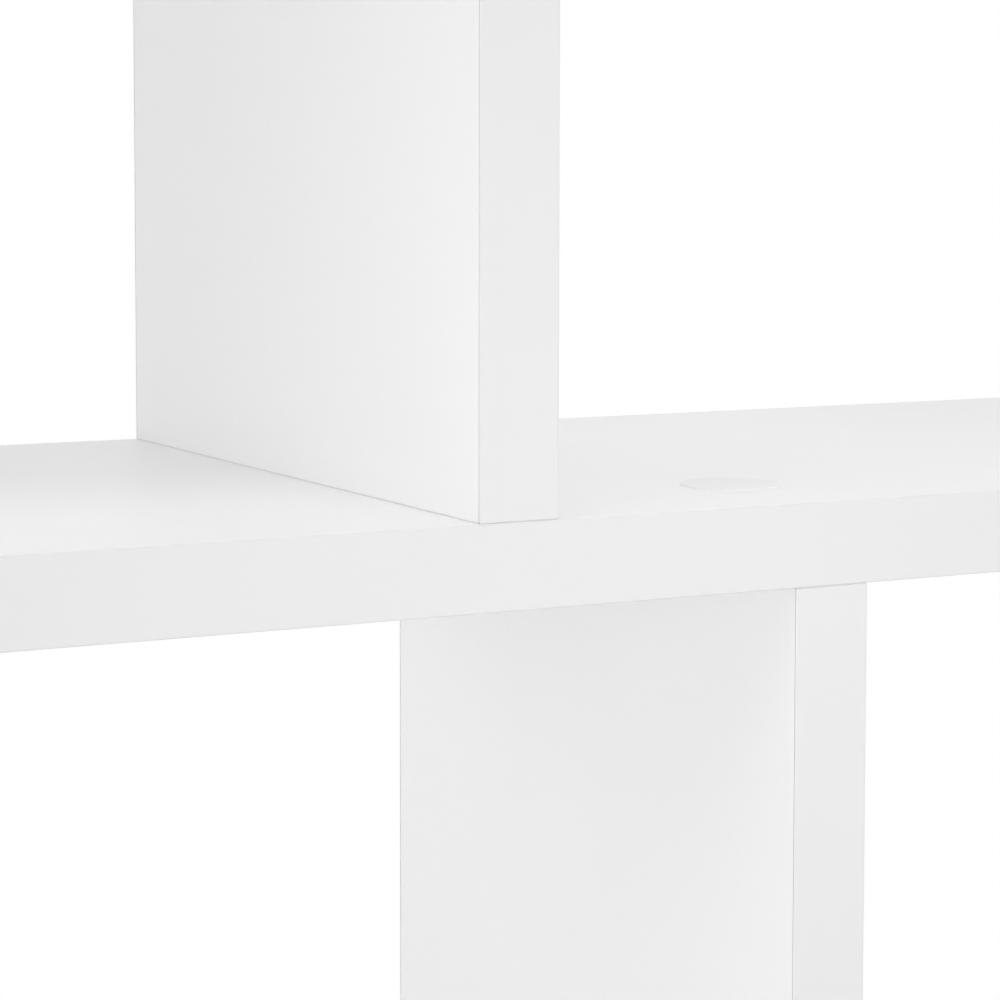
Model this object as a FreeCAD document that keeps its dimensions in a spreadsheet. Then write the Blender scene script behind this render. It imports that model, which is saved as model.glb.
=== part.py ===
import FreeCAD, Part
import math
import os

import Sketcher
from FreeCAD import Placement, Rotation, Vector

# White wall shelf of faced boards, S-shaped from the front: a long centre shelf carries a box
# above its left half and hangs a box below its right half. Millimetres, +Z up, +Y to the wall.
# The origin is the middle of the centre shelf's back edge, on the wall.

# Driving dimensions: alias, value, meaning.
DIMENSIONS = [
    ("board_thickness", 15, "every board"),
    ("shelf_depth", 160, "wall to front edge, edging included"),
    ("overall_width", 850, "centre shelf, end to end"),
    ("compartment_height", 240, "clear height between two shelves"),
    ("divider_spacing", 63, "upper divider to lower divider, centre to centre"),
    ("edging_thickness", 0.4, "strip glued on a board's edge"),
    ("edging_round", 0.25, "rounded arris of the edging"),
    ("edging_bevel", 0.22, "bevelled end of an edging strip"),
    ("edge_break", 0.2, "chamfer round each board face"),
    ("screw_inset", 30, "assembly screw to the front or back edge"),
    ("screw_length", 50, "assembly screw, head included"),
    ("screw_head", 10, "diameter of the countersunk head"),
    ("screw_shank", 7, "plain shank through the shelf board"),
    ("screw_core", 5, "core in the upright's end grain"),
    ("drill_margin", 1, "blind holes run this much past their fastener"),
    ("divider_cover", 18.5, "diameter of a screw cover in the middle of the centre shelf"),
    ("end_cover", 13, "diameter of a screw cover beside a board's end"),
    ("cover_thickness", 0.3, "self-adhesive cover"),
    ("cover_offset", 2.5, "upper middle covers, stuck on by hand left of their screws"),
    ("dowel_diameter", 8, "wooden dowel"),
    ("dowel_length", 30, "wooden dowel"),
    ("dowel_seat", 10, "length that sits in the shelf board"),
    ("hanger_length", 42, "keyhole plate, end to end"),
    ("hanger_width", 12, "keyhole plate"),
    ("hanger_thickness", 1.5, "keyhole plate, flush with the back edge"),
    ("hanger_gap", 0.1, "play between the plate and its recess"),
    ("hanger_drop", 40, "upright's top to the plate's middle"),
    ("entry_diameter", 8.5, "round entry for the wall screw's head"),
    ("entry_drop", 5, "entry below the plate's middle"),
    ("neck_width", 4.4, "slot for the wall screw's shank"),
    ("neck_travel", 11.5, "entry to the seat at the slot's top"),
    ("pocket_width", 9.5, "routed room for the wall screw's head"),
    ("pocket_depth", 8, "routed room, from the core's back edge"),
    ("fixing_spread", 16.5, "plate's middle to each fixing screw"),
    ("fixing_head", 6, "diameter of the fixing screw's head"),
    ("fixing_shank", 3, "fixing screw"),
    ("fixing_length", 16, "fixing screw"),
]

COUNTERSINK_ANGLE = 90
SMALLEST = 1e-6
UPSIDE_DOWN = Rotation(Vector(1, 0, 0), 180)

doc = FreeCAD.newDocument("wall_shelf")
sheet = doc.addObject("Spreadsheet::Sheet", "Sizes")
for line, (alias, value, meaning) in enumerate(DIMENSIONS, start=1):
    sheet.set(f"A{line}", meaning)
    sheet.set(f"B{line}", str(value))
    sheet.setAlias(f"B{line}", alias)
doc.recompute()

# Expressions that place the boards.
THICK = "Sizes.board_thickness"
DEPTH = "Sizes.shelf_depth"
WIDTH = "Sizes.overall_width"
HEIGHT = "Sizes.compartment_height"
SPACING = "Sizes.divider_spacing"
EDGING = "Sizes.edging_thickness"
BREAK = "Sizes.edge_break"
BOX_LENGTH = f"(({WIDTH} - {SPACING} + {THICK}) / 2)"
BOX_CENTRE = f"(({WIDTH} - {BOX_LENGTH}) / 2)"
BOX_JOINT = f"(({BOX_LENGTH} - {THICK}) / 2)"
END_X = f"(({WIDTH} - {THICK}) / 2)"
DIVIDER_X = f"({SPACING} / 2)"
JOINT_SPACING = f"({END_X} - {DIVIDER_X})"
LEVEL = f"({HEIGHT} + {THICK})"
MIDDLE_Y = f"(-{DEPTH} / 2)"
SCREW_Y = f"({DEPTH} / 2 - Sizes.screw_inset)"
HANGER_Z = f"({HEIGHT} / 2 - Sizes.hanger_drop)"
PLATE_REACH = "((Sizes.hanger_length - Sizes.hanger_width) / 2)"


def number(expression):
    """Value of an expression on the sheet's cells."""
    return float(sheet.evalExpression(expression))


def add_body(label, x="0", y="0", z="0", turn=Rotation()):
    """New sub-part whose place is bound to the sheet."""
    body = doc.addObject("PartDesign::Body", label)
    body.Label = label
    body.AllowCompound = True
    body.Placement = Placement(Vector(), turn)
    for axis, expression in zip("xyz", (x, y, z)):
        body.setExpression(f"Placement.Base.{axis}", expression)
    return body


def origin_feature(body, role):
    """One of the body's own origin planes or axes."""
    return next(item for item in body.Origin.OriginFeatures if item.Role == role)


def add_sketch(body, name, plane, offset="0"):
    """Empty sketch on an origin plane, moved along the plane's normal."""
    sketch = body.newObject("Sketcher::SketchObject", name)
    sketch.AttachmentSupport = [(origin_feature(body, plane), "")]
    sketch.MapMode = "FlatFace"
    sketch.setExpression("AttachmentOffset.Base.z", offset)
    return sketch


def bind(sketch, expression, kind, *where):
    """Dimension of a sketch that follows an expression."""
    constraint = Sketcher.Constraint(kind, *where, number(expression))
    index = sketch.addConstraint(constraint)
    sketch.setExpression(f"Constraints[{index}]", expression)


def place_point(sketch, geometry, point, x, y):
    """Holds a point of the sketch at x, y from its origin."""
    for kind, axis, expression in (("DistanceX", -2, x), ("DistanceY", -1, y)):
        value = number(expression)
        if abs(value) < SMALLEST:
            sketch.addConstraint(Sketcher.Constraint("PointOnObject", geometry, point, axis))
        elif value > 0:
            bind(sketch, expression, kind, -1, 1, geometry, point)
        else:
            bind(sketch, f"-({expression})", kind, geometry, point, -1, 1)


def draw_chain(sketch, points):
    """Closed chain of straight lines through the points; returns the lines' indices."""
    lines = []
    for start, end in zip(points, points[1:] + points[:1]):
        lines.append(sketch.addGeometry(Part.LineSegment(Vector(*start), Vector(*end)), False))
    for line, following in zip(lines, lines[1:] + lines[:1]):
        sketch.addConstraint(Sketcher.Constraint("Coincident", line, 2, following, 1))
    return lines


def draw_rectangle(sketch, width, height):
    """Rectangle centred on the sketch's origin."""
    half_x = number(width) / 2
    half_y = number(height) / 2
    corners = [(-half_x, -half_y), (half_x, -half_y), (half_x, half_y), (-half_x, half_y)]
    bottom, right, top, left = draw_chain(sketch, corners)
    for line, kind in ((bottom, "Horizontal"), (top, "Horizontal"), (right, "Vertical"), (left, "Vertical")):
        sketch.addConstraint(Sketcher.Constraint(kind, line))
    sketch.addConstraint(Sketcher.Constraint("Symmetric", bottom, 1, top, 1, -1, 1))
    bind(sketch, width, "DistanceX", bottom, 1, bottom, 2)
    bind(sketch, height, "DistanceY", right, 1, right, 2)


def draw_circle(sketch, x, y, diameter):
    """Circle with its centre at x, y."""
    centre = Vector(number(x), number(y))
    circle = Part.Circle(centre, Vector(0, 0, 1), number(diameter) / 2)
    geometry = sketch.addGeometry(circle, False)
    bind(sketch, diameter, "Diameter", geometry)
    place_point(sketch, geometry, 3, x, y)


def draw_slot(sketch, low, high, width):
    """Upright slot with round ends, whose end centres are at heights low and high."""
    radius = number(width) / 2
    bottom_y = number(low)
    top_y = number(high)
    top_circle = Part.Circle(Vector(0, top_y), Vector(0, 0, 1), radius)
    bottom_circle = Part.Circle(Vector(0, bottom_y), Vector(0, 0, 1), radius)
    top = sketch.addGeometry(Part.ArcOfCircle(top_circle, 0, math.pi), False)
    left = sketch.addGeometry(Part.LineSegment(Vector(-radius, top_y), Vector(-radius, bottom_y)), False)
    bottom = sketch.addGeometry(Part.ArcOfCircle(bottom_circle, math.pi, 2 * math.pi), False)
    right = sketch.addGeometry(Part.LineSegment(Vector(radius, bottom_y), Vector(radius, top_y)), False)
    for one, other in ((top, left), (left, bottom), (bottom, right), (right, top)):
        sketch.addConstraint(Sketcher.Constraint("Tangent", one, 2, other, 1))
    sketch.addConstraint(Sketcher.Constraint("Equal", top, bottom))
    bind(sketch, f"{width} / 2", "Radius", top)
    place_point(sketch, top, 3, "0", high)
    place_point(sketch, bottom, 3, "0", low)


def draw_half_section(sketch, section):
    """Closed half section for turning: (radius, height) expressions from the top of the axis down."""
    points = [(number(radius), number(height)) for radius, height in section]
    lines = draw_chain(sketch, points)
    for line, (radius, height) in zip(lines, section):
        place_point(sketch, line, 1, radius, height)


def add_pad(body, sketch, name, length, symmetric=False):
    """Solid raised from a sketch."""
    pad = body.newObject("PartDesign::Pad", name)
    pad.Profile = sketch
    pad.setExpression("Length", length)
    if symmetric:
        pad.SideType = "Symmetric"
    doc.recompute()
    return pad


def must_shrink(before, feature):
    """Stops the build where a cut takes nothing away."""
    if feature.Shape.Volume > before - SMALLEST:
        raise RuntimeError(f"{feature.Label} cuts nothing")


def add_pocket(body, sketch, name, depth, reverse=False):
    """Blind cut from a sketch, into the solid."""
    before = body.Shape.Volume
    pocket = body.newObject("PartDesign::Pocket", name)
    pocket.Profile = sketch
    pocket.Reversed = reverse
    pocket.setExpression("Length", depth)
    doc.recompute()
    must_shrink(before, pocket)
    return pocket


def add_countersunk_holes(body, sketch, name, diameter, head, reverse=False):
    """Through holes at the sketch's circles, countersunk on the sketch's side."""
    before = body.Shape.Volume
    hole = body.newObject("PartDesign::Hole", name)
    hole.Profile = sketch
    doc.recompute()
    hole.DepthType = "ThroughAll"
    hole.Reversed = reverse
    hole.setExpression("Diameter", diameter)
    hole.HoleCutType = "Countersink"
    hole.HoleCutCustomValues = True
    hole.HoleCutCountersinkAngle = COUNTERSINK_ANGLE
    hole.setExpression("HoleCutDiameter", head)
    doc.recompute()
    must_shrink(before, hole)
    return hole


def pick_edges(feature, wanted):
    """Names of the feature's edges whose bounding box passes the test."""
    edges = enumerate(feature.Shape.Edges, start=1)
    return [f"Edge{index}" for index, edge in edges if wanted(edge.BoundBox)]


def add_dressing(body, kind, name, base, edges, size_name, size):
    """Fillet or chamfer on some edges of the last feature."""
    dressing = body.newObject(f"PartDesign::{kind}", name)
    dressing.Base = (base, edges)
    dressing.setExpression(size_name, size)
    doc.recompute()
    return dressing


def add_chamfer(body, name, base, edges, size):
    """Small bevel."""
    return add_dressing(body, "Chamfer", name, base, edges, "Size", size)


def add_fillet(body, name, base, edges, radius):
    """Rounded arris."""
    return add_dressing(body, "Fillet", name, base, edges, "Radius", radius)


def add_revolution(body, sketch, name):
    """Solid turned about the sketch's upright axis."""
    revolution = body.newObject("PartDesign::Revolution", name)
    revolution.Profile = sketch
    revolution.ReferenceAxis = (sketch, ["V_Axis"])
    revolution.Angle = 360
    doc.recompute()
    return revolution


def repeat(body, features, first, second=None):
    """Row of two, or two rows of two, of the features; a direction is (axis role, spacing)."""
    pattern = body.newObject("PartDesign::LinearPattern", "Repeat")
    pattern.Originals = features
    pattern.Direction = (origin_feature(body, first[0]), [""])
    pattern.setExpression("Length", first[1])
    pattern.Occurrences = 2
    if second:
        pattern.Direction2 = (origin_feature(body, second[0]), [""])
        pattern.setExpression("Length2", second[1])
        pattern.Occurrences2 = 2
    body.Tip = pattern
    doc.recompute()
    return pattern


def lies_at(low, high, place):
    """True where a box's side lies in the plane at the place."""
    return abs(low - place) < SMALLEST and abs(high - place) < SMALLEST


def broad_face_edges(board, axis):
    """Edges round a board's two broad faces, which lie half its thickness out along the axis."""
    half = number(THICK) / 2

    def on_broad_face(box):
        low = getattr(box, f"{axis}Min")
        high = getattr(box, f"{axis}Max")
        return lies_at(low, high, half) or lies_at(low, high, -half)

    return pick_edges(board, on_broad_face)


def drill_shelf(body, joints, from_above):
    """Stepped screw holes at the joints, and dowel holes on the side where the uprights meet."""
    screw_side = f"{THICK} / 2" if from_above else f"-{THICK} / 2"
    upright_side = f"-{THICK} / 2" if from_above else f"{THICK} / 2"
    circles = add_sketch(body, "ScrewPlaces", "XY_Plane", screw_side)
    for x in joints:
        draw_circle(circles, x, SCREW_Y, "Sizes.screw_shank")
        draw_circle(circles, x, f"-{SCREW_Y}", "Sizes.screw_shank")
    shank = "Sizes.screw_shank"
    head = "Sizes.screw_head"
    add_countersunk_holes(body, circles, "ScrewHoles", shank, head, reverse=not from_above)
    dowels = add_sketch(body, "DowelPlaces", "XY_Plane", upright_side)
    for x in joints:
        draw_circle(dowels, x, "0", "Sizes.dowel_diameter")
    add_pocket(body, dowels, "DowelHoles", "Sizes.dowel_seat + Sizes.drill_margin", from_above)


def make_shelf(label, length, x, z, joints_from_above, joints_from_below):
    """Core of a shelf board: faced panel with broken edges, drilled for its joints."""
    body = add_body(label, x, MIDDLE_Y, z)
    outline = add_sketch(body, "Outline", "XY_Plane")
    draw_rectangle(outline, f"{length} - 2 * {EDGING}", f"{DEPTH} - 2 * {EDGING}")
    board = add_pad(body, outline, "Board", THICK, symmetric=True)
    add_chamfer(body, "BrokenEdges", board, broad_face_edges(board, "Z"), BREAK)
    if joints_from_above:
        drill_shelf(body, joints_from_above, from_above=True)
    if joints_from_below:
        drill_shelf(body, joints_from_below, from_above=False)
    return body


def rout_hanger_seat(body):
    """Shallow recess for the keyhole plate, with room for the wall screw's head and fixing holes."""
    back = f"-({DEPTH} / 2 - {EDGING})"
    seat = add_sketch(body, "PlateSeat", "XZ_Plane", back)
    plate_width = "(Sizes.hanger_width + 2 * Sizes.hanger_gap)"
    draw_slot(seat, f"{HANGER_Z} - {PLATE_REACH}", f"{HANGER_Z} + {PLATE_REACH}", plate_width)
    add_pocket(body, seat, "PlateRecess", f"Sizes.hanger_thickness - {EDGING}", reverse=True)
    room = add_sketch(body, "HeadRoom", "XZ_Plane", back)
    entry = f"({HANGER_Z} - Sizes.entry_drop)"
    draw_slot(room, entry, f"{entry} + Sizes.neck_travel", "Sizes.pocket_width")
    add_pocket(body, room, "HeadPocket", "Sizes.pocket_depth", reverse=True)
    fixings = add_sketch(body, "FixingPlaces", "XZ_Plane", back)
    draw_circle(fixings, "0", f"{HANGER_Z} + Sizes.fixing_spread", "Sizes.fixing_shank")
    draw_circle(fixings, "0", f"{HANGER_Z} - Sizes.fixing_spread", "Sizes.fixing_shank")
    add_pocket(body, fixings, "FixingHoles", "Sizes.fixing_length", reverse=True)


def make_upright(label, x, z):
    """Core of an upright: faced panel, drilled in both ends and routed for its hanger."""
    body = add_body(label, x, MIDDLE_Y, z)
    outline = add_sketch(body, "Outline", "XY_Plane")
    draw_rectangle(outline, THICK, f"{DEPTH} - 2 * {EDGING}")
    board = add_pad(body, outline, "Board", HEIGHT, symmetric=True)
    add_chamfer(body, "BrokenEdges", board, broad_face_edges(board, "X"), BREAK)
    pilots = add_sketch(body, "PilotPlaces", "XY_Plane", f"{HEIGHT} / 2")
    draw_circle(pilots, "0", SCREW_Y, "Sizes.screw_core")
    draw_circle(pilots, "0", f"-{SCREW_Y}", "Sizes.screw_core")
    pilot_depth = f"Sizes.screw_length - {THICK} + Sizes.drill_margin"
    pilot_holes = add_pocket(body, pilots, "PilotHoles", pilot_depth)
    dowel = add_sketch(body, "DowelPlace", "XY_Plane", f"{HEIGHT} / 2")
    draw_circle(dowel, "0", "0", "Sizes.dowel_diameter")
    dowel_depth = "Sizes.dowel_length - Sizes.dowel_seat + Sizes.drill_margin"
    dowel_hole = add_pocket(body, dowel, "DowelHole", dowel_depth)
    both_ends = body.newObject("PartDesign::Mirrored", "BothEnds")
    both_ends.Originals = [pilot_holes, dowel_hole]
    both_ends.MirrorPlane = (origin_feature(body, "XY_Plane"), [""])
    body.Tip = both_ends
    doc.recompute()
    rout_hanger_seat(body)
    return body


def make_edging(label, length, place, turn, end_bevel=None):
    """Edging strip along its own X, glued at its +Y face, with rounded outer arrises and bevelled ends."""
    body = add_body(label, *place, turn)
    outline = add_sketch(body, "Outline", "XY_Plane")
    draw_rectangle(outline, length, EDGING)
    strip = add_pad(body, outline, "Strip", THICK, symmetric=True)
    outer = -number(EDGING) / 2
    half_height = number(THICK) / 2
    end = number(length) / 2

    def is_long_arris(box):
        return lies_at(box.YMin, box.YMax, outer) and box.XLength > box.ZLength

    def is_outer_end(box):
        at_end = lies_at(box.XMin, box.XMax, end) or lies_at(box.XMin, box.XMax, -end)
        return at_end and lies_at(box.YMin, box.YMax, outer) and box.ZLength > half_height

    rounded = add_fillet(body, "Arrises", strip, pick_edges(strip, is_long_arris), "Sizes.edging_round")
    if end_bevel:
        add_chamfer(body, "Ends", rounded, pick_edges(rounded, is_outer_end), end_bevel)
    return body


def edge_shelf(label, length, x, z):
    """The four edging strips of a shelf board: front and back run over the two end strips."""
    inset = f"({length} / 2 - {EDGING} / 2)"
    front = f"-{DEPTH} + {EDGING} / 2"
    back = f"-{EDGING} / 2"
    end_length = f"({DEPTH} - 2 * {EDGING})"
    upright = Vector(0, 0, 1)
    left_place = (f"{x} - {inset}", MIDDLE_Y, z)
    right_place = (f"{x} + {inset}", MIDDLE_Y, z)
    bevel = "Sizes.edging_bevel"
    return [
        make_edging(f"{label}_front_edging", length, (x, front, z), Rotation(), bevel),
        make_edging(f"{label}_back_edging", length, (x, back, z), Rotation(upright, 180), bevel),
        make_edging(f"{label}_left_edging", end_length, left_place, Rotation(upright, -90)),
        make_edging(f"{label}_right_edging", end_length, right_place, Rotation(upright, 90)),
    ]


def edge_upright(label, x, z):
    """Front and back edging of an upright; the back strip is cut out for the hanger plate."""
    stand = Rotation(Vector(0, 1, 0), -90)
    face_back = Rotation(Vector(1, 0, 0), 180)
    front_place = (x, f"-{DEPTH} + {EDGING} / 2", z)
    back_place = (x, f"-{EDGING} / 2", z)
    bevel = "Sizes.edging_bevel"
    front = make_edging(f"{label}_front_edging", HEIGHT, front_place, stand, bevel)
    back = make_edging(f"{label}_back_edging", HEIGHT, back_place, stand * face_back, bevel)
    window = add_sketch(back, "PlateWindow", "XZ_Plane", f"-{EDGING} / 2")
    window.AttachmentOffset = Placement(Vector(), Rotation(Vector(0, 0, 1), -90))
    window.setExpression("AttachmentOffset.Base.z", f"-{EDGING} / 2")
    plate_width = "(Sizes.hanger_width + 2 * Sizes.hanger_gap)"
    draw_slot(window, f"{HANGER_Z} - {PLATE_REACH}", f"{HANGER_Z} + {PLATE_REACH}", plate_width)
    add_pocket(back, window, "PlateCutout", EDGING, reverse=True)
    return [front, back]


def make_assembly_screws(label, x, z, pointing_up):
    """Four countersunk screws of one shelf: two joints, two screws each, driven from its open face."""
    first_y = "-Sizes.screw_inset" if pointing_up else f"-{DEPTH} + Sizes.screw_inset"
    turn = UPSIDE_DOWN if pointing_up else Rotation()
    body = add_body(label, x, first_y, z, turn)
    section = add_sketch(body, "HalfSection", "XZ_Plane")
    head_height = "((Sizes.screw_head - Sizes.screw_shank) / 2)"
    draw_half_section(section, [
        ("0", "0"),
        ("Sizes.screw_head / 2", "0"),
        ("Sizes.screw_shank / 2", f"-{head_height}"),
        ("Sizes.screw_shank / 2", f"-{THICK}"),
        ("Sizes.screw_core / 2", f"-{THICK}"),
        ("Sizes.screw_core / 2", "-Sizes.screw_length"),
        ("0", "-Sizes.screw_length"),
    ])
    screw = add_revolution(body, section, "Screw")
    repeat(body, [screw], ("X_Axis", JOINT_SPACING), ("Y_Axis", f"2 * {SCREW_Y}"))
    return body


def make_dowels(label, x, z, upright_below):
    """Two dowels of one shelf, part in the board and part in the upright."""
    body = add_body(label, x, MIDDLE_Y, z, UPSIDE_DOWN if upright_below else Rotation())
    outline = add_sketch(body, "Outline", "XY_Plane", "-Sizes.dowel_seat")
    draw_circle(outline, "0", "0", "Sizes.dowel_diameter")
    peg = add_pad(body, outline, "Peg", "Sizes.dowel_length")
    repeat(body, [peg], ("X_Axis", JOINT_SPACING))
    return body


def make_covers(label, x, z, joints, facing_down):
    """Thin round covers over one shelf's screw heads; each joint is (x, cover diameter)."""
    body = add_body(label, x, MIDDLE_Y, z, UPSIDE_DOWN if facing_down else Rotation())
    outline = add_sketch(body, "Outline", "XY_Plane")
    for joint_x, diameter in joints:
        draw_circle(outline, joint_x, SCREW_Y, diameter)
        draw_circle(outline, joint_x, f"-{SCREW_Y}", diameter)
    add_pad(body, outline, "Discs", "Sizes.cover_thickness")
    return body


def make_hanger(label, x, z):
    """Steel keyhole plate with rounded ends, flush with the wall plane at its +Y face."""
    body = add_body(label, x, "0", z)
    outline = add_sketch(body, "Outline", "XZ_Plane")
    draw_slot(outline, f"-{PLATE_REACH}", PLATE_REACH, "Sizes.hanger_width")
    add_pad(body, outline, "Plate", "Sizes.hanger_thickness")
    entry = add_sketch(body, "EntryOutline", "XZ_Plane")
    draw_circle(entry, "0", "-Sizes.entry_drop", "Sizes.entry_diameter")
    add_pocket(body, entry, "Entry", "Sizes.hanger_thickness", reverse=True)
    neck = add_sketch(body, "NeckOutline", "XZ_Plane")
    draw_slot(neck, "-Sizes.entry_drop", "Sizes.neck_travel - Sizes.entry_drop", "Sizes.neck_width")
    add_pocket(body, neck, "Neck", "Sizes.hanger_thickness", reverse=True)
    fixings = add_sketch(body, "FixingPlaces", "XZ_Plane")
    draw_circle(fixings, "0", "Sizes.fixing_spread", "Sizes.fixing_shank")
    draw_circle(fixings, "0", "-Sizes.fixing_spread", "Sizes.fixing_shank")
    shank = "Sizes.fixing_shank"
    head = "Sizes.fixing_head"
    add_countersunk_holes(body, fixings, "FixingHoles", shank, head, reverse=True)
    return body


def make_fixing_screws(label, x, z):
    """Four countersunk screws that hold two hanger plates, heads flush with the plates."""
    body = add_body(label, x, "0", f"{z} - Sizes.fixing_spread")
    section = add_sketch(body, "HalfSection", "XY_Plane")
    head_height = "((Sizes.fixing_head - Sizes.fixing_shank) / 2)"
    draw_half_section(section, [
        ("0", "0"),
        ("Sizes.fixing_head / 2", "0"),
        ("Sizes.fixing_shank / 2", f"-{head_height}"),
        ("Sizes.fixing_shank / 2", "-Sizes.fixing_length"),
        ("0", "-Sizes.fixing_length"),
    ])
    screw = add_revolution(body, section, "Screw")
    repeat(body, [screw], ("Z_Axis", "2 * Sizes.fixing_spread"), ("X_Axis", JOINT_SPACING))
    return body


# Shelf boards: name, length, middle x, middle z.
SHELVES = {
    "top_shelf": (BOX_LENGTH, f"-{BOX_CENTRE}", LEVEL),
    "centre_shelf": (WIDTH, "0", "0"),
    "bottom_shelf": (BOX_LENGTH, BOX_CENTRE, f"-{LEVEL}"),
}
# Uprights: name, middle x, middle z.
UPRIGHTS = {
    "upper_end_panel": (f"-{END_X}", f"{LEVEL} / 2"),
    "upper_divider": (f"-{DIVIDER_X}", f"{LEVEL} / 2"),
    "lower_divider": (DIVIDER_X, f"-{LEVEL} / 2"),
    "lower_end_panel": (END_X, f"-{LEVEL} / 2"),
}
LEFT_END = f"-{END_X}"
BOX_JOINTS = [f"-{BOX_JOINT}", BOX_JOINT]
UPPER_JOINTS = [LEFT_END, f"-{DIVIDER_X}"]
LOWER_JOINTS = [DIVIDER_X, END_X]

sub_parts = [
    make_shelf("top_shelf", *SHELVES["top_shelf"], BOX_JOINTS, []),
    make_shelf("centre_shelf", *SHELVES["centre_shelf"], LOWER_JOINTS, UPPER_JOINTS),
    make_shelf("bottom_shelf", *SHELVES["bottom_shelf"], [], BOX_JOINTS),
]
for shelf_label, shelf_place in SHELVES.items():
    sub_parts += edge_shelf(shelf_label, *shelf_place)
for upright_label, upright_place in UPRIGHTS.items():
    sub_parts.append(make_upright(upright_label, *upright_place))
    sub_parts += edge_upright(upright_label, *upright_place)

# Fasteners: the upper pair of joints starts at the left end, the lower pair at the lower divider.
HALF = f"{THICK} / 2"
TOP_FACE = f"({LEVEL} + {HALF})"
TOP_UNDERSIDE = f"({LEVEL} - {HALF})"
LARGE = "Sizes.divider_cover"
SMALL = "Sizes.end_cover"
BOX_COVERS = [(joint, SMALL) for joint in BOX_JOINTS]
RIGHT_COVERS = [(f"{DIVIDER_X} - Sizes.cover_offset", LARGE), (END_X, SMALL)]
LEFT_COVERS = [(f"-{DIVIDER_X}", LARGE), (LEFT_END, SMALL)]
sub_parts += [
    make_assembly_screws("top_shelf_screws", LEFT_END, TOP_FACE, pointing_up=False),
    make_assembly_screws("centre_shelf_upper_screws", LEFT_END, f"-{HALF}", pointing_up=True),
    make_assembly_screws("centre_shelf_lower_screws", DIVIDER_X, HALF, pointing_up=False),
    make_assembly_screws("bottom_shelf_screws", DIVIDER_X, f"-{TOP_FACE}", pointing_up=True),
    make_dowels("top_shelf_dowels", LEFT_END, TOP_UNDERSIDE, upright_below=True),
    make_dowels("centre_shelf_upper_dowels", LEFT_END, HALF, upright_below=False),
    make_dowels("centre_shelf_lower_dowels", DIVIDER_X, f"-{HALF}", upright_below=True),
    make_dowels("bottom_shelf_dowels", DIVIDER_X, f"-{TOP_UNDERSIDE}", upright_below=False),
    make_covers("top_shelf_covers", f"-{BOX_CENTRE}", TOP_FACE, BOX_COVERS, facing_down=False),
    make_covers("centre_shelf_top_covers", "0", HALF, RIGHT_COVERS, facing_down=False),
    make_covers("centre_shelf_bottom_covers", "0", f"-{HALF}", LEFT_COVERS, facing_down=True),
    make_covers("bottom_shelf_covers", BOX_CENTRE, f"-{TOP_FACE}", BOX_COVERS, facing_down=True),
]

UPPER_HANGER_Z = f"({LEVEL} / 2 + {HANGER_Z})"
LOWER_HANGER_Z = f"({HANGER_Z} - {LEVEL} / 2)"
sub_parts += [
    make_hanger("upper_left_hanger", LEFT_END, UPPER_HANGER_Z),
    make_hanger("upper_right_hanger", f"-{DIVIDER_X}", UPPER_HANGER_Z),
    make_hanger("lower_left_hanger", DIVIDER_X, LOWER_HANGER_Z),
    make_hanger("lower_right_hanger", END_X, LOWER_HANGER_Z),
    make_fixing_screws("upper_hanger_screws", LEFT_END, UPPER_HANGER_Z),
    make_fixing_screws("lower_hanger_screws", DIVIDER_X, LOWER_HANGER_Z),
]

doc.recompute()
for item in doc.Objects:
    if "Invalid" in item.State or "Error" in item.State:
        raise RuntimeError(f"{item.Label} failed: {item.State}")
for part in sub_parts:
    if part.Shape.isNull() or not part.Shape.isValid():
        raise RuntimeError(f"{part.Label} has no valid shape")

os.makedirs("parts", exist_ok=True)
for part in sub_parts:
    part.Shape.exportStep(f"parts/{part.Label}.step")
    print(part.Label, len(part.Shape.Solids), "solids", round(part.Shape.Volume / 1000, 2), "cm3")
print(len(sub_parts), "sub-parts")
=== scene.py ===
"""White wall shelf, dressed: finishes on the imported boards, fasteners in full, studio and camera.

Metres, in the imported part's own frame: +X to the right, +Y to the wall, +Z up, front at -Y.
"""

import functools
import logging
import math
from abc import ABC, abstractmethod
from collections.abc import Callable, Sequence
from dataclasses import dataclass
from enum import Enum

import bmesh
import bpy
from mathutils import Matrix, Vector


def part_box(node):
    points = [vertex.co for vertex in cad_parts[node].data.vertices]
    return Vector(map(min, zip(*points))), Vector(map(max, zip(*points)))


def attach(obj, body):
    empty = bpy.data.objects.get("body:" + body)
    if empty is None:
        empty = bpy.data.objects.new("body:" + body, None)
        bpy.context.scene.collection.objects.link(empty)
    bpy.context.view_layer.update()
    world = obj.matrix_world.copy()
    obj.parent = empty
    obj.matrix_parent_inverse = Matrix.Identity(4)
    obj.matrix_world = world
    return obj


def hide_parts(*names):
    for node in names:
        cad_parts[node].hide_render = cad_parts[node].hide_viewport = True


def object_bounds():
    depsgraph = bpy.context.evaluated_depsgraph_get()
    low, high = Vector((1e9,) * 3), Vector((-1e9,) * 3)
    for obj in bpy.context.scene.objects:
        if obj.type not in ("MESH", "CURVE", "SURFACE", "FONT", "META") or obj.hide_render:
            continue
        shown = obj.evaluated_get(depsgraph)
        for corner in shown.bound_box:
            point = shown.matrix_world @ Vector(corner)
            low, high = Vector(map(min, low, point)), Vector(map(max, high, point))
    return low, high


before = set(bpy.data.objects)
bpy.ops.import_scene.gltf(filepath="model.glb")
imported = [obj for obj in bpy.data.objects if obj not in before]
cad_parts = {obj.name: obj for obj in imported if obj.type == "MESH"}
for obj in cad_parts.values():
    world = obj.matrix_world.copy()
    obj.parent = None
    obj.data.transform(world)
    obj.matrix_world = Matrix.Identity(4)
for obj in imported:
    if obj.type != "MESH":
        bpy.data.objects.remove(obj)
CAD_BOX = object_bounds()

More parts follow.
